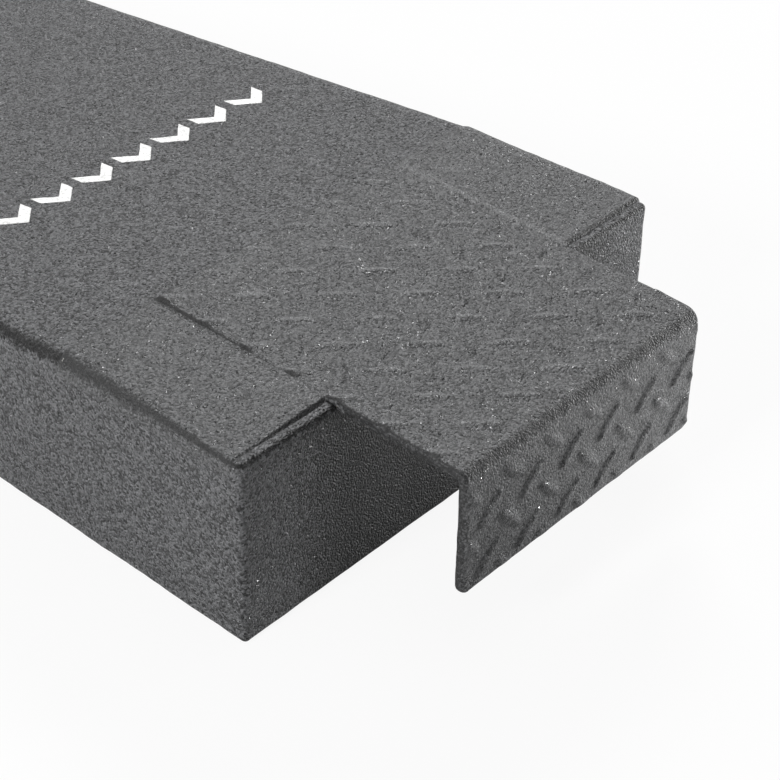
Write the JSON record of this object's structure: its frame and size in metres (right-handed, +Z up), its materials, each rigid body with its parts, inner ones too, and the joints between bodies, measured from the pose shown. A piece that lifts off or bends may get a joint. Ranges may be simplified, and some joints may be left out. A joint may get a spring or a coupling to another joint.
{
  "type": "hook-on loading ramp",
  "caption": "Coated foam wedge ramp with a level landing and a bent tread-plate hook that hangs over a trailer deck's edge.",
  "frame": {"origin": "on the ground, under the middle of the whole ramp", "axes": "+X runs up the ramp toward the hook, +Y runs across it to the left of someone going up, +Z is up"},
  "size_m": [1.3136, 0.359, 0.1312],
  "materials": {
    "foam": "matte",
    "sprayed_coat": "matte",
    "adhesive": "matte",
    "tread_plate": "satin",
    "top_coat": "satin",
    "white_paint": "satin"
  },
  "bodies": {
    "root": {"foam_core": "foam", "body_coat": "sprayed_coat", "plate_bond": "adhesive", "hook_plate": "tread_plate", "hook_coat": "top_coat", "guide_marks": "white_paint"}
  },
  "joints": []
}
